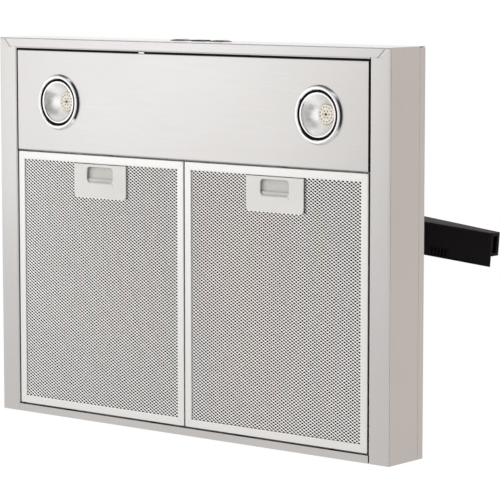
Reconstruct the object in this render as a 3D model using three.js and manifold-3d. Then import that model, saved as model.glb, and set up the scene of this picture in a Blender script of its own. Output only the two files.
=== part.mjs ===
// An under cabinet range hood: a folded steel canopy, a blower box that hangs from the cabinet,
// two swing-down grease filters, two lamps, three front controls, a double-inlet blower, and an
// outlet collar with backdraft flaps that carries a swivelling two-way diverter.
//
// Millimetres, +Z up, the hood's front towards -Y, its right side towards +X.
// Origin: centre of the blower box's top plate, the face that is screwed up against the cabinet.
import * as THREE from "three";
import { mergeVertices } from "three/addons/utils/BufferGeometryUtils.js";
import Module from "manifold-3d";

const wasm = await Module();
wasm.setup();

// ---------------------------------------------------------------- driving dimensions
const hoodWidth = 600;
const hoodDepth = 464;
const slabHeight = 64;
const boxHeight = 111;
const sheet = 1;
const gap = 0.3;
const roundSegments = 40;
const lampSegments = 30;

const underside = -(slabHeight + boxHeight);
const slabTop = -boxHeight;
const halfWidth = hoodWidth / 2;
const front = -hoodDepth / 2;
const back = hoodDepth / 2;

const sideRim = 28.7;
const frontRim = 13.5;
const rearRim = 9;
const rimLip = 8;
const lidFlange = 10;

const box = { halfWidth: 160, halfDepth: 130, foot: 12 };

const lightPanel = { halfWidth: 269, front: front + 15, back: front + 137.7, level: 0.4, flange: 9 };
const lamp = { x: 199.7, y: front + 77.2, bezelRadius: 34, throatRadius: 28.1, reflectorRadius: 25.9 };
lamp.ledRadius = 11;
lamp.depth = 15;
lamp.proud = 3;
lamp.canRadius = 34;
lamp.canHeight = 26;

const filter = { width: 268.3, inner: 0.85, front: front + 139.3, back: front + 453.3, thickness: 9 };
filter.level = 0.5;
filter.border = 10;
filter.centre = filter.inner + filter.width / 2;
filter.halfWidth = filter.width / 2;

const latch = { width: 84.5, depth: 41.7, level: 1.8, wall: 1.2, floor: 1.6, corner: 6 };
latch.front = filter.front + filter.border + gap;
latch.window = { width: 42.5, front: front + 153.3, back: front + 172.3 };
latch.tongueWidth = 18;
latch.tongueProud = 0.6;

const control = { z: underside + 32, height: 12, clearance: 1, proud: 1.6 };
control.rocker = { x: 30, width: 24.4 };
control.button = { width: 20 };
control.housing = { halfWidth: 48, halfHeight: 10, depth: 24 };

const blower = { y: 46.5, z: -67, left: 16, right: 124, wall: 1.5 };
const wheel = { radius: 55, innerRadius: 45, left: 22, right: 118, blades: 20, hubRadius: 10 };
const shaftRadius = 4;
const motor = { left: -62, right: 8, radius: 36 };

const collar = { x: 70, y: -1, outerRadius: 50, wall: 1.5, top: 57, flangeTop: -sheet - gap };
const damper = { z: 15, radius: 46.5, thickness: 1, pinRadius: 1.5, hingeGap: 0.7 };

const diverter = { turn: 4.6, armLength: 194, armWidth: 40.5, floor: 75, hubHeight: 38, endHeight: 17 };
diverter.wall = 2;
diverter.socketInner = collar.outerRadius + 0.6;
diverter.socketOuter = 53;
diverter.socketBottom = 34;

// ---------------------------------------------------------------- materials
function material(colour, roughness, metalness) {
  return new THREE.MeshStandardMaterial({ color: colour, roughness, metalness });
}
const finish = {
  brushedSteel: () => material(0xc9c6c2, 0.35, 1),
  galvanised: () => material(0xb4b8ba, 0.5, 1),
  aluminium: () => material(0xe2e4e4, 0.4, 1),
  meshAluminium: () => material(0xb9bcbd, 0.45, 1),
  chrome: () => material(0xe6e8ea, 0.12, 1),
  blackPlastic: () => material(0x1a1617, 0.55, 0),
  greyPlastic: () => material(0xe0e1de, 0.5, 0),
  darkPlastic: () => material(0x3a3b3d, 0.5, 0),
  whitePlastic: () => material(0xdedfdc, 0.45, 0),
  led: () => material(0xf3e6c4, 0.4, 0),
};

// ---------------------------------------------------------------- solids
// Points are snapped to a fine grid that 32-bit numbers hold exactly, so that faces meant to lie in
// one plane really do when pieces are joined.
const gridPerMillimetre = 1024;

function positionsOnly(geometry) {
  const bare = geometry.clone();
  bare.deleteAttribute("normal");
  bare.deleteAttribute("uv");
  const values = bare.attributes.position.array;
  for (let i = 0; i < values.length; i += 1) {
    values[i] = Math.round(values[i] * gridPerMillimetre) / gridPerMillimetre;
  }
  return mergeVertices(bare, 1e-4);
}

function solid(geometry) {
  const merged = positionsOnly(geometry);
  const vertProperties = Float32Array.from(merged.attributes.position.array);
  const triVerts = Uint32Array.from(merged.index.array);
  return new wasm.Manifold(new wasm.Mesh({ numProp: 3, vertProperties, triVerts }));
}

function geometryOf(manifold) {
  const mesh = manifold.getMesh();
  const geometry = new THREE.BufferGeometry();
  geometry.setAttribute("position", new THREE.BufferAttribute(mesh.vertProperties, 3));
  geometry.setIndex(new THREE.BufferAttribute(mesh.triVerts, 1));
  geometry.computeVertexNormals();
  return geometry;
}

function combine(pieces, tools) {
  const whole = pieces.map(solid).reduce((sum, piece) => sum.add(piece));
  return geometryOf(tools.map(solid).reduce((rest, tool) => rest.subtract(tool), whole));
}

function join(...pieces) {
  return combine(pieces, []);
}

function cut(base, ...tools) {
  return combine([base], tools);
}

function block([x0, x1], [y0, y1], [z0, z1]) {
  const geometry = new THREE.BoxGeometry(x1 - x0, y1 - y0, z1 - z0);
  return geometry.translate((x0 + x1) / 2, (y0 + y1) / 2, (z0 + z1) / 2);
}

// A profile of [radius, height] points turned about the vertical axis; it starts and ends on the
// axis, or closes on itself.
function turned(profile, segments = 32) {
  const points = profile.map(([radius, height]) => new THREE.Vector2(radius, height));
  return new THREE.LatheGeometry(points, segments).rotateX(Math.PI / 2);
}

function disc(radius, z0, z1, segments = 32) {
  return turned([[0, z0], [radius, z0], [radius, z1], [0, z1]], segments);
}

function ring(inner, outer, z0, z1, segments = 32) {
  return turned([[inner, z0], [outer, z0], [outer, z1], [inner, z1], [inner, z0]], segments);
}

// The same solids with their axis along X, centred on a point (y, z).
function alongX(geometry, y, z) {
  return geometry.rotateY(Math.PI / 2).translate(0, y, z);
}

function plate(shape, z0, z1, curveSegments = 4) {
  const settings = { depth: z1 - z0, bevelEnabled: false, curveSegments };
  return new THREE.ExtrudeGeometry(shape, settings).translate(0, 0, z0);
}

function ordered(ends) {
  return [...ends].sort((a, b) => a - b);
}

// A closed outline drawn in the (y, z) plane and carried along X.
function profileAlongX(shape, x0, x1) {
  const settings = { depth: x1 - x0, bevelEnabled: false };
  const turnedToX = new THREE.Matrix4().set(0, 0, 1, x0, 1, 0, 0, 0, 0, 1, 0, 0, 0, 0, 0, 1);
  return new THREE.ExtrudeGeometry(shape, settings).applyMatrix4(turnedToX);
}

function outline(points) {
  return new THREE.Shape(points.map(([y, z]) => new THREE.Vector2(y, z)));
}

function roundedRectangle(x0, x1, y0, y1, radius) {
  const shape = new THREE.Shape();
  shape.moveTo(x0 + radius, y0);
  shape.absarc(x1 - radius, y0 + radius, radius, -Math.PI / 2, 0);
  shape.absarc(x1 - radius, y1 - radius, radius, 0, Math.PI / 2);
  shape.absarc(x0 + radius, y1 - radius, radius, Math.PI / 2, Math.PI);
  shape.absarc(x0 + radius, y0 + radius, radius, Math.PI, 1.5 * Math.PI);
  return shape;
}

// A compression spring along +Y from the local origin.
function coilSpring(length, coilRadius, wireRadius, turns) {
  const stepsPerTurn = 8;
  const points = [];
  for (let i = 0; i <= turns * stepsPerTurn; i += 1) {
    const angle = (2 * Math.PI * i) / stepsPerTurn;
    const travel = wireRadius + ((length - 2 * wireRadius) * i) / (turns * stepsPerTurn);
    points.push(new THREE.Vector3(coilRadius * Math.cos(angle), travel, coilRadius * Math.sin(angle)));
  }
  const section = new THREE.Shape();
  section.absarc(0, 0, wireRadius, 0, 2 * Math.PI);
  const extrudePath = new THREE.CatmullRomCurve3(points);
  return new THREE.ExtrudeGeometry(section, {
    extrudePath,
    steps: turns * stepsPerTurn,
    curveSegments: 2,
    bevelEnabled: false,
  });
}

const hood = new THREE.Group();

function add(name, geometry, surface, parent = hood) {
  const mesh = new THREE.Mesh(geometry, surface);
  mesh.name = name;
  parent.add(mesh);
}

function groupAt(x, y, z) {
  const group = new THREE.Group();
  group.position.set(x, y, z);
  hood.add(group);
  return group;
}

// ---------------------------------------------------------------- canopy
function controlOpening(x, width) {
  const half = width / 2 + control.clearance;
  const halfHeight = control.height / 2 + control.clearance;
  const height = [control.z - halfHeight, control.z + halfHeight];
  return block([x - half, x + half], [front - 1, front + 2], height);
}

// The folded shell: front wall, side walls and the rims round the underside, open at the rear.
function canopyShell() {
  const rimInner = halfWidth - sideRim;
  const lipTop = underside + sheet + rimLip;
  const lipFoot = underside + sheet / 2;
  const lipInset = 0.2;
  const whole = block([-halfWidth, halfWidth], [front, back], [underside, slabTop]);
  const inside = block(
    [-halfWidth + sheet, halfWidth - sheet],
    [front + sheet, back + 1],
    [underside + sheet, slabTop + 1],
  );
  const bay = block(
    [-rimInner, rimInner],
    [front + frontRim, back + 1],
    [underside - 1, underside + sheet + 1],
  );
  const lidRoom = block(
    [-halfWidth - 1, halfWidth + 1],
    [front + sheet, back + 1],
    [slabTop - lidFlange - gap, slabTop + 1],
  );
  const lipFront = front + frontRim - lipInset - sheet;
  const lips = [block([-rimInner, rimInner], [lipFront, lipFront + sheet], [lipFoot, lipTop])];
  for (const side of [-1, 1]) {
    const lip = [side * (rimInner + lipInset), side * (rimInner + lipInset + sheet)];
    const lipRun = [lipFront + sheet / 2, back - rearRim - 2];
    lips.push(block(ordered(lip), lipRun, [lipFoot, lipTop - lipInset]));
  }
  const shell = cut(whole, inside, bay, lidRoom);
  return combine([shell, ...lips], [
    controlOpening(-control.rocker.x, control.rocker.width),
    controlOpening(0, control.button.width),
    controlOpening(control.rocker.x, control.rocker.width),
  ]);
}

const screwPlaces = [-1, 1].flatMap((side) => [-1, 1].map((end) => [side, end])).map(([side, end]) => ({
  name: `box_screw_${end < 0 ? "front" : "rear"}_${side < 0 ? "left" : "right"}`,
  x: side * (box.halfWidth + box.foot / 2 + sheet / 2),
  y: end * (box.halfDepth - 20),
}));

function screwHoles(z0, z1) {
  return screwPlaces.map((place) => disc(2.2, z0, z1, 12).translate(place.x, place.y, 0));
}

const cableHole = { x: -235, y: 163, radius: 8.3 };

function canopyLid() {
  const top = [slabTop - sheet, slabTop];
  const lidFront = front + sheet + gap;
  const pieces = [block([-halfWidth, halfWidth], [lidFront, back], top)];
  for (const side of [-1, 1]) {
    const flange = ordered([side * halfWidth, side * (halfWidth - sheet)]);
    pieces.push(block(flange, [lidFront, back], [slabTop - lidFlange, slabTop]));
  }
  const opening = block(
    [-box.halfWidth + 2, box.halfWidth - 2],
    [-box.halfDepth + 2, box.halfDepth - 2],
    [slabTop - 2, slabTop + 1],
  );
  const cable = disc(cableHole.radius, slabTop - 3, slabTop + 3, 20).translate(cableHole.x, cableHole.y, 0);
  return combine(pieces, [opening, cable, ...screwHoles(slabTop - 3, slabTop + 3)]);
}

function keyhole(x, z) {
  const entry = disc(5, back - 3, back + 3, 16).rotateX(-Math.PI / 2).translate(x, 0, z);
  return join(entry, block([x - 2.5, x + 2.5], [back - 3, back + 3], [z, z + 13]));
}

function rearPanel() {
  const inner = halfWidth - sheet - gap;
  const rimInner = halfWidth - sideRim - gap;
  const wallHeight = [underside + sheet + gap, slabTop - sheet - gap];
  const wall = block([-inner, inner], [back - sheet, back], wallHeight);
  const strip = block([-rimInner, rimInner], [back - rearRim, back], [underside, underside + sheet]);
  const fold = block([-rimInner, rimInner], [back - sheet, back], [underside, underside + 4]);
  const slots = [keyhole(-180, underside + 40), keyhole(180, underside + 40)];
  return combine([wall, strip, fold], slots);
}

function blowerBox() {
  const { halfWidth: hw, halfDepth: hd, foot } = box;
  const bottom = slabTop + gap;
  const shell = cut(
    block([-hw, hw], [-hd, hd], [bottom, 0]),
    block([-hw + sheet, hw - sheet], [-hd + sheet, hd - sheet], [bottom - 1, -sheet]),
    disc(collar.outerRadius + 1.5, -3, 3, 40).translate(collar.x, collar.y, 0),
  );
  const footPlate = cut(
    block([-hw - foot, hw + foot], [-hd - foot, hd + foot], [bottom, bottom + sheet]),
    block([-hw + 0.5, hw - 0.5], [-hd + 0.5, hd - 0.5], [bottom - 1, bottom + 2]),
  );
  return combine([shell, footPlate], screwHoles(bottom - 2, bottom + 3));
}

function boxScrew() {
  return turned([[0, -5], [1.9, -5], [1.9, 0.1], [3.6, 0.1], [3.6, 1.6], [2.6, 2.4], [0, 2.4]], 12);
}

// L-section rails above the filters: the filters close up against them.
function filterRail(y0, y1, foldSide) {
  const level = underside + filter.level + filter.thickness + 1.2;
  const thick = 1.2;
  const foldHeight = 10;
  const inner = halfWidth - sheet - gap;
  const foldOuter = foldSide < 0 ? y0 : y1;
  const foldInner = foldOuter - foldSide * thick;
  const far = foldSide < 0 ? y1 : y0;
  const section = outline([
    [far, level],
    [foldOuter, level],
    [foldOuter, level + foldHeight],
    [foldInner, level + foldHeight],
    [foldInner, level + thick],
    [far, level + thick],
  ]);
  return profileAlongX(section, -inner, inner);
}

function addFilterRails() {
  const frontEnd = filter.front + 8;
  const rearStart = filter.back - 10;
  const level = underside + filter.level + filter.thickness + 1.2;
  add("filter_rail_front", filterRail(filter.front - 10, frontEnd, -1), finish.galvanised());
  add("filter_rail_rear", filterRail(rearStart, filter.back + 4, 1), finish.galvanised());
  const middle = block([-9, 9], [frontEnd + gap, rearStart - gap], [level, level + 1.2]);
  add("filter_rail_centre", middle, finish.galvanised());
}

// ---------------------------------------------------------------- light panel and lamps
function lightPanelSheet() {
  const { halfWidth: hw, front: y0, back: y1, level, flange } = lightPanel;
  const bottom = underside + level;
  const top = bottom + flange;
  const section = outline([
    [y0, bottom],
    [y1, bottom],
    [y1, top],
    [y1 - sheet, top],
    [y1 - sheet, bottom + sheet],
    [y0 + sheet, bottom + sheet],
    [y0 + sheet, top],
    [y0, top],
  ]);
  const holes = [-lamp.x, lamp.x].map((x) =>
    disc(lamp.throatRadius + 0.5, bottom - 2, bottom + 3, lampSegments).translate(x, lamp.y, 0),
  );
  return cut(profileAlongX(section, -hw, hw), ...holes);
}

// Lamp pieces stand in a local frame: z = 0 is the light panel's lower face, the lamp shines down.
function lampBezel() {
  const { bezelRadius: outer, throatRadius: throat, proud } = lamp;
  const seat = -0.2;
  return turned([
    [throat - 1.2, 8],
    [throat - 1.2, -proud + 0.8],
    [throat - 0.6, -proud + 0.1],
    [throat + 0.6, -proud],
    [outer - 1.6, -proud + 0.3],
    [outer - 0.4, -proud + 1.2],
    [outer, seat],
    [throat, seat],
    [throat, 8],
    [throat - 1.2, 8],
  ], lampSegments);
}

function lampReflector() {
  const { reflectorRadius: mouth, ledRadius, depth } = lamp;
  return turned([
    [mouth, -1.4],
    [mouth + 0.6, -1],
    [mouth + 0.6, 0.4],
    [ledRadius + 2.4, depth],
    [ledRadius + 0.8, depth],
    [mouth - 3.2, 0.4],
    [mouth - 2.6, -1],
    [mouth, -1.4],
  ], lampSegments);
}

function lampCan() {
  const { canRadius, canHeight } = lamp;
  const wall = 1.2;
  const seat = sheet + gap;
  return turned([
    [0, canHeight],
    [0, canHeight - wall],
    [canRadius - wall, canHeight - wall],
    [canRadius - wall, seat],
    [canRadius, seat],
    [canRadius, canHeight],
    [0, canHeight],
  ], 28);
}

function addLamp(side) {
  const label = side < 0 ? "left" : "right";
  const group = groupAt(side * lamp.x, lamp.y, underside + lightPanel.level);
  add(`lamp_bezel_${label}`, lampBezel(), finish.chrome(), group);
  add(`lamp_reflector_${label}`, lampReflector(), finish.chrome(), group);
  add(`lamp_led_${label}`, disc(lamp.ledRadius, lamp.depth - 1.6, lamp.depth, 24), finish.led(), group);
  add(`lamp_can_${label}`, lampCan(), finish.galvanised(), group);
}

// ---------------------------------------------------------------- filters
// Filter pieces stand in a local frame: x = 0 at the filter's middle, z = 0 at the underside.
function tonguePath(extra) {
  const half = latch.tongueWidth / 2 + extra;
  return block([-half, half], [filter.front - 2, latch.front + 6], [4.9 - extra, 7.1 + extra]);
}

function filterFrame() {
  const { halfWidth: hw, border, level, thickness } = filter;
  const top = level + thickness;
  const whole = block([-hw, hw], [filter.front, filter.back], [level, top]);
  const face = block(
    [-hw + border, hw - border],
    [filter.front + border, filter.back - border],
    [level - 1, top + 1],
  );
  const groove = block([-hw + 1, hw - 1], [filter.front + 1, filter.back - 1], [level + 1, top - 0.8]);
  const tongues = [-70, 70].map((x) =>
    block([x - 10, x + 10], [filter.back - 0.5, filter.back + 4.7], [level + 1.7, level + 2.9]),
  );
  return join(cut(whole, face, groove, tonguePath(0.4)), ...tongues);
}

// Each layer is expanded metal in reality; here it is a plain sheet about as thick as that metal
// would be if it were rolled solid.
function filterSheet(z0, z1) {
  const hw = filter.halfWidth - 1 - gap;
  const area = block([-hw, hw], [filter.front + 1 + gap, filter.back - 1 - gap], [z0, z1]);
  const half = latch.width / 2 + gap;
  const room = block([-half, half], [filter.front, latch.front + latch.depth + gap], [z0 - 1, z1 + 1]);
  return cut(area, room);
}

function latchPlate() {
  const { width, depth, level, wall, floor, corner, window: opening } = latch;
  const top = filter.level + filter.thickness - 0.3;
  const footprint = (inset, radius) =>
    roundedRectangle(
      -width / 2 + inset,
      width / 2 - inset,
      latch.front + inset,
      latch.front + depth - inset,
      radius,
    );
  const body = plate(footprint(0, corner), level, top);
  const room = plate(footprint(wall, corner - wall), level + floor, top + 1);
  const half = opening.width / 2;
  const windowOutline = roundedRectangle(-half, half, opening.front, opening.back, 4);
  const windowHole = plate(windowOutline, level - 1, level + 3);
  return cut(body, room, windowHole, tonguePath(0.4));
}

function latchSlider() {
  const { window: opening, tongueWidth, tongueProud } = latch;
  const half = opening.width / 2 + 3;
  const cup = block([-half, half], [opening.front - 1.5, opening.back + 5], [6.6, 8.2]);
  const lip = block([-half + 4, half - 4], [opening.back - 4.6, opening.back + 2], [3.9, 7]);
  const tongue = block(
    [-tongueWidth / 2, tongueWidth / 2],
    [filter.front - tongueProud, opening.front],
    [5.2, 6.9],
  );
  return join(cup, lip, tongue);
}

function addFilter(side) {
  const label = side < 0 ? "left" : "right";
  const group = groupAt(side * filter.centre, 0, underside);
  add(`filter_frame_${label}`, filterFrame(), finish.aluminium(), group);
  add(`filter_mesh_${label}`, filterSheet(1.8, 2.4), finish.meshAluminium(), group);
  add(`filter_media_${label}`, filterSheet(4.4, 5.6), finish.meshAluminium(), group);
  add(`filter_back_mesh_${label}`, filterSheet(7.6, 8.2), finish.meshAluminium(), group);
  add(`latch_plate_${label}`, latchPlate(), finish.greyPlastic(), group);
  add(`latch_slider_${label}`, latchSlider(), finish.whitePlastic(), group);
  const sliderBack = latch.window.back + 5;
  const wallFace = latch.front + latch.depth - latch.wall;
  const spring = coilSpring(wallFace - sliderBack - 2 * gap, 1.8, 0.4, 5);
  spring.translate(0, sliderBack + gap, 6.5);
  add(`latch_spring_${label}`, spring, finish.chrome(), group);
}

// ---------------------------------------------------------------- front controls
// A rocker turns about a vertical pin set behind the front wall; its face is slightly crowned.
const rockerPin = { back: 6, radius: 1.6, length: 2 };

function rocker() {
  const half = control.rocker.width / 2;
  const halfHeight = control.height / 2;
  const face = new THREE.Shape();
  face.moveTo(-half, 3.5);
  face.lineTo(-half, -rockerPin.back - 0.7);
  face.quadraticCurveTo(0, -rockerPin.back - 2 * control.proud, half, -rockerPin.back - 0.7);
  face.lineTo(half, 3.5);
  face.lineTo(-half, 3.5);
  const pin = disc(rockerPin.radius, -halfHeight - rockerPin.length, halfHeight + rockerPin.length, 12);
  return join(plate(face, -halfHeight, halfHeight, 8), pin);
}

function powerButton() {
  const half = control.button.width / 2;
  const halfHeight = control.height / 2;
  const cap = block([-half, half], [-control.proud, 9], [-halfHeight, halfHeight]);
  const stem = disc(1.1, 8, 13, 10).rotateX(-Math.PI / 2);
  return join(cap, stem);
}

function switchHousing() {
  const { halfWidth: hw, halfHeight: hh, depth } = control.housing;
  const faceY = sheet + gap;
  const pocket = (x, width, deep) => {
    const half = width / 2 + control.clearance;
    const halfHeight = control.height / 2 + 0.6;
    return block([x - half, x + half], [faceY - 1, deep], [-halfHeight, halfHeight]);
  };
  const pinHole = (x) => {
    const reach = control.height / 2 + rockerPin.length + 0.5;
    return disc(rockerPin.radius + 0.35, -reach, reach, 12).translate(x, rockerPin.back, 0);
  };
  return cut(
    block([-hw, hw], [faceY, depth], [-hh, hh]),
    pocket(-control.rocker.x, control.rocker.width, 14),
    pocket(0, control.button.width, 22),
    pocket(control.rocker.x, control.rocker.width, 14),
    pinHole(-control.rocker.x),
    pinHole(control.rocker.x),
  );
}

function addControls() {
  const group = groupAt(0, front, control.z);
  add("switch_housing", switchHousing(), finish.blackPlastic(), group);
  for (const [name, side] of [["rocker_light", -1], ["rocker_speed", 1]]) {
    const place = new THREE.Group();
    place.position.set(side * control.rocker.x, rockerPin.back, 0);
    group.add(place);
    add(name, rocker(), finish.darkPlastic(), place);
  }
  add("power_button", powerButton(), finish.blackPlastic(), group);
  const spring = coilSpring(22 - 9 - 2 * gap, 2.6, 0.4, 6).translate(0, 9 + gap, 0);
  add("power_spring", spring, finish.chrome(), group);
}

// ---------------------------------------------------------------- wiring
function addWiring() {
  const junction = { x: [-284, -196], y: [120, 206], z: [underside + 22, underside + 52] };
  const shell = cut(
    block(junction.x, junction.y, junction.z),
    block(
      [junction.x[0] + 1, junction.x[1] - 1],
      [junction.y[0] + 1, junction.y[1] - 1],
      [junction.z[0] - 1, junction.z[1] - 1],
    ),
    disc(6, junction.z[1] - 3, junction.z[1] + 1, 16).translate(cableHole.x, cableHole.y, 0),
  );
  add("junction_box", shell, finish.galvanised());
  const cover = block(junction.x, junction.y, [junction.z[0] - gap - 1, junction.z[0] - gap]);
  add("junction_cover", cover, finish.galvanised());
  const base = block([-262, -218], [174, 196], [underside + 36, underside + 50.7]);
  const ports = [-255, -245, -235, -225].map((x) =>
    block([x - 3, x + 3], [172, 184], [underside + 40, underside + 46]),
  );
  add("terminal_block", cut(base, ...ports), finish.whitePlastic());
  const driverTop = slabTop - sheet - gap;
  const driver = plate(roundedRectangle(196, 276, 60, 112, 4), driverTop - 24, driverTop, 3);
  add("led_driver", driver, finish.whitePlastic());
  const capacitor = join(disc(15, 0, 46, 20), disc(5, 45, 50, 12)).translate(-120, 70, -sheet - gap - 50);
  add("motor_capacitor", capacitor, finish.galvanised());
  const gland = turned([
    [3.6, -9],
    [7.8, -9],
    [7.8, gap],
    [11, gap],
    [11, 3.5],
    [8, 9],
    [3.6, 9],
    [3.6, -9],
  ], 20);
  add("cable_gland", gland.translate(cableHole.x, cableHole.y, slabTop), finish.blackPlastic());
}

// ---------------------------------------------------------------- blower
// The scroll's outline in the (y, z) plane: a spiral that grows from the cut-off at the top, round
// the rear and the bottom, to the front, where it runs straight up into the throat.
function scrollOutline(inset) {
  const start = 100;
  const sweep = 280;
  const steps = 28;
  const least = 59 - inset;
  const most = 95 - inset;
  const top = collar.flangeTop - 1.5 - 2 * gap;
  const shape = new THREE.Shape();
  shape.moveTo(blower.y + least * Math.cos(THREE.MathUtils.degToRad(start)), top + 2 * inset);
  for (let i = 0; i <= steps; i += 1) {
    const angle = THREE.MathUtils.degToRad(start - (sweep * i) / steps);
    const radius = least + ((most - least) * i) / steps;
    shape.lineTo(blower.y + radius * Math.cos(angle), blower.z + radius * Math.sin(angle));
  }
  shape.lineTo(blower.y - most, top + 2 * inset);
  shape.closePath();
  return shape;
}

function scrollHousing() {
  const { left, right, wall, y, z } = blower;
  return cut(
    profileAlongX(scrollOutline(0), left, right),
    profileAlongX(scrollOutline(wall), left + wall, right - wall),
    alongX(disc(wheel.innerRadius + 1, left - 5, right + 5, lampSegments), y, z),
  );
}

function inletRing(side) {
  const face = 0.3;
  const profile = [
    [46, face],
    [56, face],
    [56, face + 1.2],
    [49, face + 1.2],
    [47.5, face + 4],
    [46, face + 4],
    [46, face],
  ];
  const bell = turned(profile, lampSegments);
  const placed = side < 0 ? bell.rotateY(-Math.PI / 2) : bell.rotateY(Math.PI / 2);
  return placed.translate(side < 0 ? blower.left : blower.right, blower.y, blower.z);
}

function impeller() {
  const { radius, innerRadius, left, right, blades, hubRadius } = wheel;
  const middle = (left + right) / 2;
  const pieces = [
    ring(innerRadius + 2, radius, left, left + 2, roundSegments),
    ring(innerRadius + 2, radius, right - 2, right, roundSegments),
    disc(radius, middle - 1, middle + 1, roundSegments),
    disc(hubRadius, middle - 14, middle + 14, 20),
  ];
  for (let i = 0; i < blades; i += 1) {
    const blade = block([innerRadius + 1, radius - 0.6], [-0.7, 0.7], [left + 1, right - 1]);
    const lean = new THREE.Matrix4().makeRotationZ(0.6);
    const arm = (innerRadius + radius) / 2;
    blade.translate(-arm, 0, 0).applyMatrix4(lean).translate(arm, 0, 0);
    pieces.push(blade.rotateZ((2 * Math.PI * i) / blades));
  }
  const wheelSolid = combine(pieces, [disc(shaftRadius + 0.1, middle - 20, middle + 20, 20)]);
  return alongX(wheelSolid, blower.y, blower.z);
}

function motorBody() {
  const shell = turned([
    [0, motor.left],
    [motor.radius - 3, motor.left],
    [motor.radius, motor.left + 3],
    [motor.radius, motor.right - 6],
    [motor.radius - 6, motor.right],
    [13, motor.right],
    [13, motor.right + 6],
    [0, motor.right + 6],
  ], 32);
  const bore = disc(shaftRadius + 0.3, motor.left + 8, motor.right + 10, 20);
  return alongX(cut(shell, bore), blower.y, blower.z);
}

function motorBracket() {
  const rear = motor.left - gap;
  const foot = [-sheet - gap - 2, -sheet - gap];
  return join(
    block([rear - 2, rear], [blower.y - 30, blower.y + 30], [blower.z - 26, foot[1]]),
    block([rear - 2, rear + 40], [blower.y - 30, blower.y + 30], foot),
  );
}

function addBlower() {
  add("scroll_housing", scrollHousing(), finish.darkPlastic());
  add("inlet_ring_left", inletRing(-1), finish.whitePlastic());
  add("inlet_ring_right", inletRing(1), finish.whitePlastic());
  add("impeller", impeller(), finish.whitePlastic());
  const shaft = disc(shaftRadius, motor.left + 9, wheel.right - 22, 20);
  add("motor_shaft", alongX(shaft, blower.y, blower.z), finish.chrome());
  add("motor", motorBody(), finish.galvanised());
  add("motor_bracket", motorBracket(), finish.galvanised());
}

// ---------------------------------------------------------------- outlet collar and flaps
function outletCollar() {
  const { outerRadius, wall, top, flangeTop } = collar;
  const tube = ring(outerRadius - wall, outerRadius, flangeTop - 1.5, top, roundSegments);
  const flange = cut(
    block([-62, 62], [-61, 61], [flangeTop - 1.5, flangeTop]),
    disc(outerRadius - 0.5, flangeTop - 3, flangeTop + 2, roundSegments),
  );
  const pinHole = alongX(disc(damper.pinRadius + 0.15, -60, 60, 12), 0, damper.z);
  return combine([tube, flange], [pinHole]);
}

function damperFlap(side) {
  const { radius, thickness, pinRadius, hingeGap } = damper;
  const near = pinRadius + hingeGap;
  const start = Math.asin(near / radius);
  const shape = new THREE.Shape();
  shape.absarc(0, 0, radius, start, Math.PI - start);
  shape.closePath();
  const flap = plate(shape, damper.z - thickness / 2, damper.z + thickness / 2, 20);
  return side < 0 ? flap.rotateZ(Math.PI) : flap;
}

function addOutlet() {
  const group = groupAt(collar.x, collar.y, 0);
  add("outlet_collar", outletCollar(), finish.blackPlastic(), group);
  const pinReach = collar.outerRadius - 0.2;
  const pin = alongX(disc(damper.pinRadius, -pinReach, pinReach, 12), 0, damper.z);
  add("damper_pin", pin, finish.chrome(), group);
  add("damper_flap_front", damperFlap(-1), finish.blackPlastic(), group);
  add("damper_flap_rear", damperFlap(1), finish.blackPlastic(), group);
}

// ---------------------------------------------------------------- two-way diverter
// Drawn in a local frame: origin on the collar's axis, arms along local x, rear towards local +y.
const armHalf = diverter.armWidth / 2;
const endNotch = { width: 12.5, length: 16 };

function ventSlots(side) {
  return [0, 1, 2, 3, 4].map((i) => {
    const x = side * (110 + 5 * i);
    return block([x - 1.2, x + 1.2], [9, 19], [diverter.floor - 1, diverter.floor + 3]);
  });
}

function diverterLower() {
  const { floor, wall, armLength, socketInner, socketOuter, socketBottom } = diverter;
  const socket = ring(socketInner, socketOuter, socketBottom, floor + wall, roundSegments);
  const arms = block([-armLength, armLength], [-armHalf, armHalf], [floor, floor + wall]);
  const throat = disc(socketInner, floor - 1, floor + wall + 1, roundSegments);
  return combine([socket, arms], [throat, ...ventSlots(-1), ...ventSlots(1)]);
}

// One arm's hollow or solid: a bar whose roof slopes from the hub down to the end.
function armWedge(side, length, halfDepth, bottom, hubTop, endTop) {
  const profile = new THREE.Shape();
  profile.moveTo(0, bottom);
  profile.lineTo(side * length, bottom);
  profile.lineTo(side * length, endTop);
  profile.lineTo(side * diverter.socketOuter, hubTop);
  profile.lineTo(0, hubTop);
  profile.closePath();
  const settings = { depth: 2 * halfDepth, bevelEnabled: false };
  return new THREE.ExtrudeGeometry(profile, settings).rotateX(Math.PI / 2).translate(0, halfDepth, 0);
}

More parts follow.
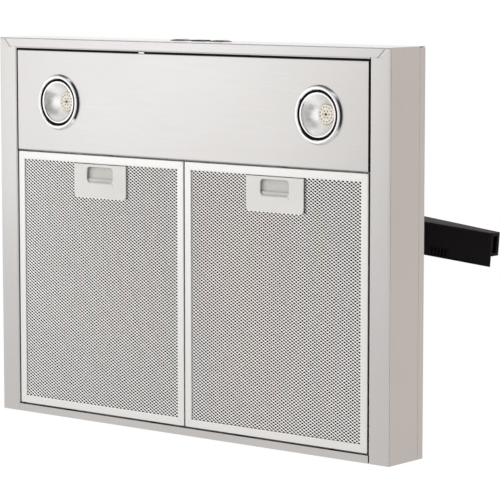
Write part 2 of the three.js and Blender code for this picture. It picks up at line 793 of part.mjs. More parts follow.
function diverterUpper() {
  const { floor, wall, armLength, hubHeight, endHeight, socketOuter } = diverter;
  const bottom = floor + wall + gap;
  const hubTop = floor + hubHeight;
  const endTop = floor + endHeight;
  const outer = [disc(socketOuter, bottom, hubTop, roundSegments)];
  const inner = [disc(socketOuter - wall, bottom - 1, hubTop - wall, roundSegments)];
  const extras = [];
  for (const side of [-1, 1]) {
    outer.push(armWedge(side, armLength, armHalf, bottom, hubTop, endTop));
    inner.push(armWedge(side, armLength - wall, armHalf - wall, bottom - 1, hubTop - wall, endTop - wall));
    const end = ordered([side * (armLength + 1), side * (armLength - endNotch.length)]);
    extras.push({
      notch: block(end, [armHalf - endNotch.width, armHalf + 1], [bottom - 2, hubTop]),
      wall: block(
        ordered([side * armLength, side * (armLength - endNotch.length - wall)]),
        [armHalf - endNotch.width - wall, armHalf - endNotch.width],
        [bottom, floor + endHeight],
      ),
      closing: block(
        ordered([side * (armLength - endNotch.length), side * (armLength - endNotch.length - wall)]),
        [armHalf - endNotch.width - wall, armHalf],
        [bottom, floor + endHeight + 1],
      ),
      mouth: block(
        ordered([side * (armLength - 6), side * (armLength + 2)]),
        [-armHalf + 4, armHalf - endNotch.width - wall - 1.5],
        [floor + 4, floor + endHeight - 4],
      ),
    });
  }
  const notched = combine(outer, [...inner, ...extras.map((extra) => extra.notch)]);
  const walls = extras.flatMap((extra) => [extra.wall, extra.closing]);
  return combine([notched, ...walls], extras.map((extra) => extra.mouth));
}

function addDiverter() {
  const group = groupAt(collar.x, collar.y, 0);
  group.rotation.z = THREE.MathUtils.degToRad(diverter.turn);
  add("diverter_lower", diverterLower(), finish.blackPlastic(), group);
  add("diverter_upper", diverterUpper(), finish.blackPlastic(), group);
}

// ---------------------------------------------------------------- the hood
add("canopy_shell", canopyShell(), finish.brushedSteel());
add("canopy_lid", canopyLid(), finish.brushedSteel());
add("rear_panel", rearPanel(), finish.galvanised());
add("blower_box", blowerBox(), finish.galvanised());
for (const place of screwPlaces) {
  add(place.name, boxScrew(), finish.chrome(), groupAt(place.x, place.y, slabTop + gap + sheet));
}
addFilterRails();
add("light_panel", lightPanelSheet(), finish.brushedSteel());
for (const side of [-1, 1]) {
  addLamp(side);
  addFilter(side);
}
addControls();
addWiring();
addBlower();
addOutlet();
addDiverter();

export default hood;
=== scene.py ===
# An under cabinet range hood: the studio, the materials and the fine pieces round the CAD frame.
# Metres, +Z up, the hood's front towards -Y. Sizes are written in millimetres times mm.
import math

import bpy
from mathutils import Matrix, Vector

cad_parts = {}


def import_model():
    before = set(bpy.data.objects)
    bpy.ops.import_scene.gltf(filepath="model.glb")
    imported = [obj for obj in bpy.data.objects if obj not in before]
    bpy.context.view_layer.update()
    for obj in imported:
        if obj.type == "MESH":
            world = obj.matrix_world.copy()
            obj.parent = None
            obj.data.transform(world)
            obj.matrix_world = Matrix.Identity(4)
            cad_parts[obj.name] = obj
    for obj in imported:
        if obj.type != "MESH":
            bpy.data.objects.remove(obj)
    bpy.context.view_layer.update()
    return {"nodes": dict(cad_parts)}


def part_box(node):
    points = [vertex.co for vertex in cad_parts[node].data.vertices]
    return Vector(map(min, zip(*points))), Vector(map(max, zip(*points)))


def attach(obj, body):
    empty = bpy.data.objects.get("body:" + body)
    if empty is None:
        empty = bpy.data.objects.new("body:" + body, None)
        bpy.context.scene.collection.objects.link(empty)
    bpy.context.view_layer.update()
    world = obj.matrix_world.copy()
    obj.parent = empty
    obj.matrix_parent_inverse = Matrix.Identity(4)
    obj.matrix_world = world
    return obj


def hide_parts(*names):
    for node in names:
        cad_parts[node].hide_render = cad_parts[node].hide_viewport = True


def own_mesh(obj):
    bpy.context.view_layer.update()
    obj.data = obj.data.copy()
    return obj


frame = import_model()

mm = 0.001
sharp_angle = 40

# ---------------------------------------------------------------- places, from the frame
shell_low, shell_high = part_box("canopy_shell")
underside = shell_low.z
slab_top = shell_high.z
front = shell_low.y
back = shell_high.y
half_width = shell_high.x
underside_centre = Vector((0, 0, underside))

sheet = 1 * mm
side_rim = 28.7 * mm
front_rim = 13.5 * mm
rim_lip = 8 * mm
outer_bend = 2.4 * mm
mitre_gap = 0.1 * mm
mitre_depth = front_rim - outer_bend - 0.1 * mm
lid_flange = 10.3 * mm

camera_azimuth = math.radians(39.46)
camera_pitch = math.radians(6.48)
camera_distance = 3.044
camera_offset = (77.8 * mm, -11.3 * mm)
camera_lens = 187.0


# ---------------------------------------------------------------- shapes
# A shape is a list of vertices and a list of faces. Outlines are lists of 2-D vectors.
def arc_corner(before, corner, after, radius, steps):
    """The points of an arc that rounds off one corner of a line."""
    a = (before - corner).normalized()
    b = (after - corner).normalized()
    half = a.angle(b) / 2
    centre = corner + (a + b).normalized() * (radius / math.sin(half))
    start = corner + a * (radius / math.tan(half)) - centre
    end = corner + b * (radius / math.tan(half)) - centre
    return [centre + start.slerp(end, i / steps).normalized() * radius for i in range(steps + 1)]


def rounded_line(corners, radius, steps=5):
    line = [corners[0]]
    for before, corner, after in zip(corners, corners[1:], corners[2:]):
        line += arc_corner(before, corner, after, radius, steps)
    return line + [corners[-1]]


def ribbon(corners, thickness, radius, steps=5):
    """Closed outline of a folded sheet whose centre line has these corners."""
    line = rounded_line([Vector(c) for c in corners], radius, steps)
    left, right = [], []
    for i, point in enumerate(line):
        along = (line[min(i + 1, len(line) - 1)] - line[max(i - 1, 0)]).normalized()
        normal = Vector((-along.y, along.x)) * (thickness / 2)
        left.append(point + normal)
        right.append(point - normal)
    return left + right[::-1]


def along(axis, place, u, v):
    return (place, u, v) if axis == "x" else (u, place, v)


def sweep(outline, axis, start, end):
    """A ribbon's outline carried along an axis. start and end are functions of a point's place."""
    count = len(outline)
    vertices = [along(axis, start(p), p.x, p.y) for p in outline]
    vertices += [along(axis, end(p), p.x, p.y) for p in outline]
    sides = [(i, (i + 1) % count, count + (i + 1) % count, count + i) for i in range(count)]
    strips = [(i, i + 1, count - 2 - i, count - 1 - i) for i in range(count // 2 - 1)]
    near = [strip[::-1] for strip in strips]
    far = [tuple(count + i for i in strip) for strip in strips]
    return vertices, sides + near + far


def lathe(profile, centre, segments):
    """A closed profile of (radius, height) points turned about the vertical line through centre."""
    vertices, faces = [], []
    count = len(profile)
    for k in range(segments):
        angle = 2 * math.pi * k / segments
        for radius, height in profile:
            offset = Vector((radius * math.cos(angle), radius * math.sin(angle), height))
            vertices.append(centre + offset)
        following = (k + 1) % segments
        for i in range(count):
            j = (i + 1) % count
            faces.append((k * count + i, following * count + i, following * count + j, k * count + j))
    return vertices, faces


def rounded_rectangle(x0, x1, y0, y1, radii, steps=6):
    """Outline of a rectangle. Its radii go front-left, front-right, rear-right, rear-left."""
    corners = [(x0, y0, 1, 1), (x1, y0, -1, 1), (x1, y1, -1, -1), (x0, y1, 1, -1)]
    outline = []
    for k, (x, y, inward_x, inward_y) in enumerate(corners):
        centre = Vector((x + inward_x * radii[k], y + inward_y * radii[k]))
        first = math.pi + k * math.pi / 2
        for i in range(steps + 1):
            angle = first + math.pi / 2 * i / steps
            outline.append(centre + Vector((math.cos(angle), math.sin(angle))) * radii[k])
    return outline


def stack(loops):
    """Loops of the same number of 3-D points joined one above the other, with caps at both ends."""
    count = len(loops[0])
    vertices = [point for loop in loops for point in loop]
    faces = [tuple(range(count))[::-1]]
    for k in range(len(loops) - 1):
        for i in range(count):
            j = (i + 1) % count
            faces.append((k * count + i, k * count + j, (k + 1) * count + j, (k + 1) * count + i))
    faces.append(tuple(range((len(loops) - 1) * count, len(loops) * count)))
    return vertices, faces


def slab(x, y, z, radii, edge, steps=3):
    """A plate with rounded corners whose lower and upper edges are eased by a small radius."""
    low, high = z
    levels = [(1 - math.sin(a), 1 - math.cos(a)) for a in (math.pi / 2 * i / steps for i in range(steps + 1))]
    loops = []
    for inset, rise in levels:
        loops.append((inset * edge, low + rise * edge))
    for inset, rise in reversed(levels):
        loops.append((inset * edge, high - rise * edge))
    made = []
    for inset, height in loops:
        eased = [max(radius - inset, 0.02 * mm) for radius in radii]
        flat = rounded_rectangle(x[0] + inset, x[1] - inset, y[0] + inset, y[1] - inset, eased)
        made.append([(p.x, p.y, height) for p in flat])
    return stack(made)


def turned_about_z(shape, angle, centre):
    turn = Matrix.Translation(centre) @ Matrix.Rotation(angle, 4, "Z")
    vertices, faces = shape
    return [turn @ Vector(v) for v in vertices], faces


class Piece:
    """Collects shapes, each in its own material, into one object."""

    def __init__(self, name):
        self.name = name
        self.vertices = []
        self.faces = []
        self.materials = []
        self.indices = []

    def add(self, shape, material):
        vertices, faces = shape
        offset = len(self.vertices)
        if material not in self.materials:
            self.materials.append(material)
        self.vertices += [tuple(v) for v in vertices]
        self.faces += [tuple(i + offset for i in face) for face in faces]
        self.indices += [self.materials.index(material)] * len(faces)
        return self

    def make(self, sharp=sharp_angle):
        mesh = bpy.data.meshes.new(self.name)
        mesh.from_pydata(self.vertices, [], self.faces)
        for material in self.materials:
            mesh.materials.append(material)
        mesh.polygons.foreach_set("material_index", self.indices)
        mesh.shade_smooth()
        mesh.set_sharp_from_angle(angle=math.radians(sharp))
        made = bpy.data.objects.new(self.name, mesh)
        bpy.context.scene.collection.objects.link(made)
        return made


def keep_flats_flat(piece):
    """Weights the normals by face size, so that only bends and rounded edges shade as curved."""
    modifier = piece.modifiers.new("flat_faces", "WEIGHTED_NORMAL")
    modifier.keep_sharp = True


def settle(piece, body, slot, *nodes):
    """Puts a finished piece on a body, in place of the CAD nodes given. The slot is not used."""
    keep_flats_flat(piece)
    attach(piece, body)
    if nodes:
        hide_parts(*nodes)


def carve(piece, *shapes, material=None):
    """Cuts closed shapes out. The cut faces take the piece's first material unless one is given."""
    tool = Piece(piece.name + "_tool")
    for shape in shapes:
        tool.add(shape, material or piece.data.materials[0])
    cutter = tool.make()
    modifier = piece.modifiers.new("carve", "BOOLEAN")
    modifier.operation = "DIFFERENCE"
    modifier.solver = "EXACT"
    modifier.use_self = True
    modifier.material_mode = "TRANSFER"
    modifier.object = cutter
    graph = bpy.context.evaluated_depsgraph_get()
    carved = bpy.data.meshes.new_from_object(piece.evaluated_get(graph))
    piece.modifiers.clear()
    piece.data = carved
    carved.set_sharp_from_angle(angle=math.radians(sharp_angle))
    bpy.data.objects.remove(cutter)


# ---------------------------------------------------------------- materials
# The values that nearly all of a noise lies between.
noise_span = (0.3, 0.7)


class Shader:
    """A node tree with one Principled shader, and short ways to add nodes to it."""

    def __init__(self, name, colour, roughness, metallic=0.0):
        self.material = bpy.data.materials.new(name)
        self.material.use_nodes = True
        self.tree = self.material.node_tree
        self.shader = self.tree.nodes["Principled BSDF"]
        self.set(**{"Base Color": (*colour, 1), "Roughness": roughness, "Metallic": metallic})

    def set(self, **sockets):
        for name, value in sockets.items():
            self.plug(self.shader, name.replace("_", " "), value)

    def plug(self, node, name, value):
        if isinstance(value, bpy.types.NodeSocket):
            self.tree.links.new(value, node.inputs[name])
        else:
            node.inputs[name].default_value = value

    def node(self, kind, inputs, **settings):
        made = self.tree.nodes.new(kind)
        for name, value in settings.items():
            setattr(made, name, value)
        for name, value in inputs.items():
            self.plug(made, name, value)
        return made

    def coordinates(self, scale):
        place = self.node("ShaderNodeTexCoord", {})
        return self.node("ShaderNodeMapping", {"Vector": place.outputs["Object"], "Scale": scale}).outputs[0]

    def noise(self, scale, detail=2.0):
        inputs = {"Vector": self.coordinates(scale), "Scale": 1.0, "Detail": detail}
        return self.node("ShaderNodeTexNoise", inputs).outputs["Fac"]

    def cells(self, scale, output="Color"):
        inputs = {"Vector": self.coordinates(scale), "Scale": 1.0}
        return self.node("ShaderNodeTexVoronoi", inputs).outputs[output]

    def ranged(self, value, low, high):
        start, end = noise_span
        inputs = {"Value": value, "From Min": start, "From Max": end, "To Min": low, "To Max": high}
        return self.node("ShaderNodeMapRange", inputs).outputs["Result"]

    def blended(self, value, first, second):
        ramp = self.node("ShaderNodeValToRGB", {"Fac": value})
        for element, place, colour in zip(ramp.color_ramp.elements, noise_span, (first, second)):
            element.position = place
            element.color = (*colour, 1)
        return ramp.outputs["Color"]

    def bump(self, height, strength, distance):
        inputs = {"Height": height, "Strength": strength, "Distance": distance}
        self.set(Normal=self.node("ShaderNodeBump", inputs).outputs["Normal"])


def lighter(colour, factor):
    return tuple(min(channel * factor, 1) for channel in colour)


def brushed(name, colour, grain_axis):
    """Satin sheet metal, brushed along one axis."""
    roughness = 0.3
    across = 1 / (0.22 * mm)
    lengthwise = 1 / (60 * mm)
    grain = [across] * 3
    grain[grain_axis] = lengthwise
    made = Shader(name, colour, roughness, 1.0)
    streaks = made.noise(grain, 3.0)
    clouds = made.noise((7, 7, 7), 2.0)
    made.set(Base_Color=made.blended(clouds, lighter(colour, 0.985), lighter(colour, 1.015)))
    made.set(Roughness=made.ranged(streaks, roughness - 0.03, roughness + 0.04))
    made.bump(streaks, 0.02, 0.01 * mm)
    return made.material


def galvanised(name, colour):
    """Zinc-coated sheet with its spangle."""
    made = Shader(name, colour, 0.42, 1.0)
    spangle = made.cells((120, 120, 120))
    grey = made.node("ShaderNodeRGBToBW", {"Color": spangle}).outputs[0]
    made.set(Base_Color=made.blended(grey, lighter(colour, 0.92), lighter(colour, 1.05)))
    made.set(Roughness=made.ranged(grey, 0.38, 0.44))
    made.bump(made.noise((900, 900, 900), 2.0), 0.1, 0.03 * mm)
    return made.material


def cast_metal(name, colour, roughness, speckle=900):
    """Plain aluminium, chrome or plated steel with a faint speckle."""
    made = Shader(name, colour, roughness, 1.0)
    grain = made.noise((speckle, speckle, speckle), 3.0)
    made.set(Roughness=made.ranged(grain, roughness * 0.8, roughness * 1.25))
    made.set(Base_Color=made.blended(grain, lighter(colour, 0.95), lighter(colour, 1.03)))
    made.bump(grain, 0.06, 0.02 * mm)
    return made.material


def moulded(name, colour, roughness, texture=0.15, specular=0.5, mottle=0.07):
    """Moulded plastic with a fine spark-eroded texture and slow colour variation."""
    made = Shader(name, colour, roughness)
    made.set(Specular_IOR_Level=specular)
    grain = made.noise((1 / (0.45 * mm),) * 3, 2.0)
    clouds = made.noise((25, 25, 25), 2.0)
    made.set(Base_Color=made.blended(clouds, lighter(colour, 1 - mottle), lighter(colour, 1 + mottle)))
    made.set(Roughness=made.ranged(grain, roughness - 0.07, roughness + 0.07))
    made.bump(grain, texture, 0.06 * mm)
    return made.material


def woven_aluminium_painted_shade(name, colour):
    """A crumpled stack of expanded aluminium seen through the front mesh, darkened towards its cell borders
    as painted shade.
    """
    made = Shader(name, colour, 0.5, 1.0)
    cell_relief_and_shade = made.cells((1 / (4.2 * mm), 1 / (2.6 * mm), 1 / (3 * mm)), "Distance")
    # Painted shade: the colour falls to a quarter of itself towards the cell borders.
    made.set(Base_Color=made.blended(cell_relief_and_shade, colour, lighter(colour, 0.25)))
    made.bump(cell_relief_and_shade, 0.8, 0.6 * mm)
    return made.material


steel_colour = (0.595, 0.596, 0.601)
steel = {
    "wide": brushed("steel_grain_wide", steel_colour, 0),
    "deep": brushed("steel_grain_deep", steel_colour, 1),
}
zinc = galvanised("galvanised_sheet", (0.62, 0.64, 0.65))
aluminium = cast_metal("folded_aluminium", (0.82, 0.83, 0.835), 0.38)
strand_metal = cast_metal("expanded_aluminium", (0.955, 0.98, 1.0), 0.22, 1500)
# The filter media is aluminium, coloured nearly black as painted shade behind the front mesh.
media_painted_shade = woven_aluminium_painted_shade("filter_media_painted_shade", (0.022, 0.0225, 0.0225))
back_mesh_metal = woven_aluminium_painted_shade("filter_back_metal", (0.6, 0.605, 0.605))
chrome = cast_metal("chrome_plate", (0.66, 0.67, 0.69), 0.07, 400)
bowl_metal = cast_metal("lamp_bowl_metal", (0.95, 0.96, 0.97), 0.32, 140)
bright_steel = cast_metal("plated_steel", (0.75, 0.76, 0.76), 0.22)
black_plastic = moulded("black_plastic", (0.0092, 0.0065, 0.0075), 0.6, 0.15, 0.11)
button_plastic = moulded("button_plastic", (0.02, 0.02, 0.021), 0.4)
rocker_plastic = moulded("rocker_plastic", (0.16, 0.16, 0.165), 0.42)
# Dark plastic for the scroll housing and the filter tongues; on the latch housing the same colour is painted
# shade.
scroll_plastic = moulded("scroll_plastic", (0.04, 0.041, 0.043), 0.45)
latch_plastic = moulded("latch_plastic", (0.82, 0.83, 0.825), 0.4, 0.08, mottle=0.02)
white_plastic = moulded("white_plastic", (0.68, 0.69, 0.67), 0.42, 0.1)
# Near-black used only in gaps and grooves, as painted shade.
painted_shade_black = moulded("painted_shade_black", (0.004, 0.004, 0.004), 0.8, 0.15, 0.1)
board_white = moulded("lamp_board", (0.98, 0.96, 0.9), 0.45, 0.05, mottle=0.02)
phosphor = moulded("lamp_phosphor", (0.52, 0.46, 0.26), 0.3, 0.1)


# ---------------------------------------------------------------- canopy
def with_points_at(outline, place):
    """The outline with a point added wherever it crosses a line u = place."""
    finer = []
    for i, point in enumerate(outline):
        following = outline[(i + 1) % len(outline)]
        finer.append(point)
        if (point.x - place) * (following.x - place) < 0:
            finer.append(point.lerp(following, (place - point.x) / (following.x - point.x)))
    return finer


def canopy_side(side):
    """One side wall with its rim and lip: a folded outline in the (x, z) plane carried along Y."""
    outer = side * (half_width - sheet / 2)
    inner = side * (half_width - side_rim + sheet / 2)
    rim_level = underside + sheet / 2
    corners = [
        (outer, slab_top - lid_flange),
        (outer, rim_level),
        (inner, rim_level),
        (inner, underside + sheet + rim_lip),
    ]
    depth_limit = mitre_depth + 2 * mitre_gap
    folded = ribbon(corners, sheet, outer_bend - sheet / 2)
    outline = with_points_at(folded, side * (half_width - depth_limit))

    def mitred_start(point):
        return front + min(half_width - abs(point.x), depth_limit)

    return sweep(outline, "y", mitred_start, lambda point: back)


def canopy_front():
    """The front wall with its rim and lip, mitred into the sides."""
    wall = front + sheet / 2
    inner = front + front_rim - sheet / 2
    rim_level = underside + sheet / 2
    corners = [
        (wall, slab_top),
        (wall, rim_level),
        (inner, rim_level),
        (inner, underside + sheet + rim_lip),
    ]
    outline = with_points_at(ribbon(corners, sheet, outer_bend - sheet / 2), front + mitre_depth)

    def mitred_end(point):
        depth = point.x - front
        in_lip = depth > mitre_depth + mitre_gap / 2
        return half_width - mitre_gap - (side_rim if in_lip else depth)

    return sweep(outline, "x", lambda point: -mitred_end(point), mitred_end)


def add_canopy():
    piece = Piece("canopy_body")
    piece.add(canopy_front(), steel["wide"])
    for side in (-1, 1):
        piece.add(canopy_side(side), steel["deep"])
    made = piece.make()
    slots = [face_slot(name) for name in ("rocker_light", "power_button", "rocker_speed")]
    carve(made, *slots)
    seams = [corner_seam(side, (underside - 1 * mm, underside + 0.55 * mm), 0.7 * mm) for side in (-1, 1)]
    carve(made, *seams)
    settle(made, "canopy", "brushed_steel", "canopy_shell")
    # A near-black strip in each mitre groove: painted shade for the joint's gap.
    seam_shade = Piece("corner_seam_shade")
    for side in (-1, 1):
        seam_shade.add(corner_seam(side, (underside + 0.2 * mm, underside + 0.5 * mm), 0.66 * mm), painted_shade_black)
    settle(seam_shade.make(), "canopy", "black_plastic")


def corner_seam(side, z, width):
    """The 45 degree joint across a front corner of the rims."""
    seam_start = Vector((half_width - 8.6 * mm, front + 1.9 * mm))
    seam_end = Vector((half_width - 18.6 * mm, front + 11.9 * mm))
    half_length = (seam_end - seam_start).length / 2
    middle = (seam_start + seam_end) / 2
    straight = slab((-half_length, half_length), (-width / 2, width / 2), z, [0.1 * mm] * 4, 0.05 * mm)
    return turned_about_z(straight, -side * math.pi / 4, Vector((side * middle.x, middle.y, 0)))


def face_slot(node):
    """The opening in the front wall round one control."""
    clearance = 0.8 * mm
    control_height = 12 * mm
    low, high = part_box(node)
    middle = (low.z + high.z) / 2
    half_height = control_height / 2 + clearance
    return slab(
        (low.x - clearance, high.x + clearance),
        (front - 5 * mm, front + 5 * mm),
        (middle - half_height, middle + half_height),
        [0.1 * mm] * 4,
        0.6 * mm,
    )


# ---------------------------------------------------------------- light panel and lamps
panel_low, panel_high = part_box("light_panel")
lamp_sides = {"left": -1, "right": 1}


def lamp_centre(label):
    low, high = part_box("lamp_bezel_" + label)
    return Vector(((low.x + high.x) / 2, (low.y + high.y) / 2, panel_low.z))


def add_light_panel():
    level = panel_low.z + sheet / 2
    ends = (panel_low.y + sheet / 2, panel_high.y - sheet / 2)
    corners = [(ends[0], panel_high.z), (ends[0], level), (ends[1], level), (ends[1], panel_high.z)]
    outline = ribbon(corners, sheet, 1.1 * mm)
    piece = Piece("light_panel_sheet")
    piece.add(sweep(outline, "x", lambda p: panel_low.x, lambda p: panel_high.x), steel["wide"])
    made = piece.make()
    for label in lamp_sides:
        hole = [(0.1 * mm, -5 * mm), (30.1 * mm, -5 * mm), (30.1 * mm, 5 * mm), (0.1 * mm, 5 * mm)]
        carve(made, lathe(hole, lamp_centre(label), 64))
    settle(made, "canopy", "brushed_steel", "light_panel")
    add_panel_gap_shade()


def add_panel_gap_shade():
    """Near-black strips in the gap round the light panel as painted shade, and the clip that shows in it."""
    recess = 0.7 * mm
    edge = 0.1 * mm
    clearance = 0.02 * mm
    gap_shade_z = (underside + recess, underside + recess + 3 * mm)
    rim_x = half_width - side_rim + edge
    rim_y = front + front_rim + edge
    # The near-black strips are painted shade in the gap.
    gap_shade = Piece("panel_gap_shade")
    front_y = (rim_y, panel_low.y - clearance)
    gap_shade.add(slab((-rim_x, rim_x), front_y, gap_shade_z, [edge] * 4, edge), painted_shade_black)
    for side in (-1, 1):
        x = sorted((side * rim_x, side * (panel_high.x + clearance)))
        gap_shade.add(slab(x, (panel_low.y, panel_high.y), gap_shade_z, [edge] * 4, edge), painted_shade_black)
    settle(gap_shade.make(), "canopy", "black_plastic")
    clip = Piece("panel_clip")
    clip_middle = -65.5 * mm
    clip_half = 4.5 * mm
    clip_x = (clip_middle - clip_half, clip_middle + clip_half)
    clip_z = (underside + 0.3 * mm, underside + 2 * mm)
    clip.add(slab(clip_x, (rim_y, panel_low.y), clip_z, [edge] * 4, edge), bright_steel)
    settle(clip.make(), "canopy", "bright_steel")


def rounded_profile(corners, radius, steps=4):
    """A closed outline with every corner rounded off."""
    points = [Vector(c) for c in corners]
    outline = []
    for i, corner in enumerate(points):
        outline += arc_corner(points[i - 1], corner, points[(i + 1) % len(points)], radius, steps)
    return [(p.x, p.y) for p in outline]


bezel_outer = 34 * mm
throat_outer = 28.4 * mm
bowl_outer = 25.7 * mm
bowl_inner = 11.2 * mm
lamp_depth = 15 * mm
led_radius = 11 * mm
chip_rings = ((4.2 * mm, 6), (8.4 * mm, 13))


def bezel_ring():
    """The chrome trim's section: a flat face with a steep outer edge."""
    face = -3.6 * mm
    seat = -0.05 * mm
    corners = [
        (throat_outer, seat),
        (throat_outer, face + 0.9 * mm),
        (throat_outer + 0.8 * mm, face),
        (bezel_outer - 2.7 * mm, face),
        (bezel_outer - 1.75 * mm, face + 0.55 * mm),
        (bezel_outer, seat),
    ]
    return rounded_profile(corners, 0.2 * mm)


def throat_shade_ring():
    """A near-black sleeve between the trim and the bowl, nearly level with both: painted shade for the groove
    between them.
    """
    corners = [
        (bowl_outer + 0.05 * mm, 8 * mm),
        (bowl_outer + 0.05 * mm, -2.3 * mm),
        (throat_outer - 0.02 * mm, -2.4 * mm),
        (throat_outer - 0.02 * mm, 8 * mm),
    ]
    return rounded_profile(corners, 0.15 * mm)


def bowl():
    """The reflector's section: a bright rolled rim, then a deep cone that curves a little."""
    rim_width = 2.4 * mm
    face = [(bowl_outer, -2.0 * mm), (bowl_outer - 0.5 * mm, -2.6 * mm), (bowl_outer - 1.7 * mm, -2.6 * mm)]
    mouth = -2.0 * mm
    steps = 12
    for i in range(steps + 1):
        share = i / steps
        radius = (bowl_outer - rim_width) * (1 - share) + bowl_inner * share
        belly = 1.2 * mm * math.sin(math.pi * share)
        face.append((radius + belly, mouth + (lamp_depth - mouth) * share))
    behind = [(bowl_inner + 1.2 * mm, lamp_depth), (bowl_outer - 0.2 * mm, 0.6 * mm)]
    return (face + behind)[::-1]


def ring_places(radius, count):
    """Points evenly spaced round a circle, each with its angle."""
    angles = [2 * math.pi * i / count for i in range(count)]
    return [(Vector((radius * math.cos(a), radius * math.sin(a))), a) for a in angles]


def chip(centre, angle):
    """One light-emitting chip: a small square dome standing down from the board."""
    half = 0.9 * mm
    shape = slab((-half, half), (-half, half), (-0.5 * mm, 0), [0.3 * mm] * 4, 0.2 * mm)
    return turned_about_z(shape, angle, centre)


def add_lamp(label):
    centre = lamp_centre(label)
    bezel = Piece("lamp_trim_" + label)
    bezel.add(lathe(bezel_ring(), centre, 96), chrome)
    # The sleeve's near-black colour is painted shade.
    bezel.add(lathe(throat_shade_ring(), centre, 96), painted_shade_black)
    settle(bezel.make(), "canopy", "lamp_chrome", "lamp_bezel_" + label)
    reflector = Piece("lamp_bowl_" + label)
    reflector.add(lathe(bowl(), centre, 96), bowl_metal)
    settle(reflector.make(), "canopy", "lamp_chrome", "lamp_reflector_" + label)
    add_lamp_board(label, centre)


def add_lamp_board(label, centre):
    """The white LED board with two rings of chips and one screw."""
    board_low, board_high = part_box("lamp_led_" + label)
    level = board_low.z - centre.z
    thickness = board_high.z - board_low.z
    disc = [
        (0.05 * mm, level + thickness),
        (0.05 * mm, level),
        (led_radius - 0.2 * mm, level),
        (led_radius, level + 0.2 * mm),
        (led_radius, level + thickness),
    ]
    board = Piece("lamp_board_" + label)
    board.add(lathe(disc, centre, 64), board_white)
    for radius, count in chip_rings:
        for place, angle in ring_places(radius, count):
            board.add(chip(centre + Vector((place.x, place.y, level)), angle), phosphor)
    screw_end = level - 1 * mm
    screw_outline = [(0.05 * mm, level), (0.05 * mm, screw_end), (1.4 * mm, screw_end), (1.4 * mm, level)]
    screw = rounded_profile(screw_outline, 0.04 * mm)
    board.add(lathe(screw, centre, 24), button_plastic)
    settle(board.make(), "canopy", "led_board", "lamp_led_" + label)


# ---------------------------------------------------------------- filters
mesh_long = 6.0 * mm
mesh_short = 3.8 * mm
strand_half = 0.43 * mm
strand_twist = 0.1
filter_border = 10 * mm
filter_depth = 314 * mm
bolt_half = 9.4 * mm


def bar_outline(inset, level, flip):
    """The filter frame's folded section; inset runs from its outer edge towards the middle."""
    half = 0.4 * mm
    top = 9.0 * mm - half
    inner = filter_border - half
    corners = [(8.6 * mm, top), (half, top), (half, half), (inner, half), (inner, 1.7 * mm)]
    line = ribbon(corners, 2 * half, 0.75 * mm, 4)
    return [Vector((inset + flip * p.x, level + p.y)) for p in line]


def filter_bars(x, y, level):
    """Four mitred bars round a filter."""
    gap = 0.08 * mm

    def before(edge, far, flip):
        return lambda p: edge + abs(p.x - far) * flip + gap * flip

    bars = []
    for far, flip in ((y[0], 1), (y[1], -1)):
        bars.append(sweep(bar_outline(far, level, flip), "x", before(x[0], far, 1), before(x[1], far, -1)))
    for far, flip in ((x[0], 1), (x[1], -1)):
        bars.append(sweep(bar_outline(far, level, flip), "y", before(y[0], far, 1), before(y[1], far, -1)))
    return bars


def expanded_mesh(piece, x, y, level, keep_out, material):
    """Rows of diamonds, every other row shifted by half a diamond."""
    rows = int((y[1] - y[0]) / (mesh_short / 2))
    columns = int((x[1] - x[0]) / mesh_long)
    ring = [(i, (i + 1) % 6, 6 + (i + 1) % 6, 6 + i) for i in range(6)]
    walls = [(a + 6, b + 6, c + 6, d + 6) for a, b, c, d in ring]
    for row in range(1, rows):
        for column in range(1, columns):
            shift = 0.5 if row % 2 else 0.0
            centre = Vector((x[0] + (column + shift) * mesh_long, y[0] + row * mesh_short / 2))
            if keep_out(centre):
                continue
            piece.add((hexagon_cell(centre, level), ring + walls), material)


def hexagon_cell(centre, level):
    """Vertices of one diamond: six along the strands, six round the hole, six behind the strands."""
    half_long = mesh_long / 2
    half_short = mesh_short / 2
    strand_reach = half_long * half_short / math.hypot(half_long, half_short)
    shrink = 1 - strand_half / strand_reach
    knuckle = 0.2
    tip = 1 - knuckle
    hole_rise = 0.16 * mm
    strand_depth = 0.62 * mm
    middle_line = [(-1, 0), (0, -1), (0, -1), (1, 0), (0, 1), (0, 1)]
    hole = [(-1, 0), (-knuckle, -tip), (knuckle, -tip), (1, 0), (knuckle, tip), (-knuckle, tip)]
    middles = [(centre.x + u * half_long, centre.y + v * half_short) for u, v in middle_line]
    vertices = [(x, y, level) for x, y in middles]
    for u, v in hole:
        x = centre.x + (u + strand_twist * v) * half_long * shrink
        y = centre.y + (v + strand_twist * u) * half_short * shrink
        vertices.append((x, y, level + hole_rise))
    return vertices + [(x, y, level + strand_depth) for x, y in middles]


def add_filter(label):
    body = "filter_" + label
    add_filter_border(label, body)
    add_filter_lattice(label, body)


def add_filter_border(label, body):
    """The folded frame with its two rear tongues and the slot for the latch's bolt."""
    low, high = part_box("filter_frame_" + label)
    rear = low.y + filter_depth
    frame_piece = Piece("filter_border_" + label)
    for bar in filter_bars((low.x, high.x), (low.y, rear), low.z):
        frame_piece.add(bar, aluminium)
    middle = (low.x + high.x) / 2
    tongue_half = 10 * mm
    for offset in (-70 * mm, 70 * mm):
        tongue = slab(
            (middle + offset - tongue_half, middle + offset + tongue_half),
            (rear - 1 * mm, high.y),
            (low.z + 1.7 * mm, low.z + 2.9 * mm),
            [0.1 * mm, 0.1 * mm, 2 * mm, 2 * mm],
            0.2 * mm,
        )
        frame_piece.add(tongue, scroll_plastic)
    made = frame_piece.make()
    window = slab(
        (middle - bolt_half, middle + bolt_half),
        (low.y - 2 * mm, low.y + 2 * mm),
        (low.z + 4 * mm, low.z + 7 * mm),
        [0.05 * mm] * 4,
        0.05 * mm,
    )
    carve(made, window)
    settle(made, body, "filter_frame", "filter_frame_" + label)


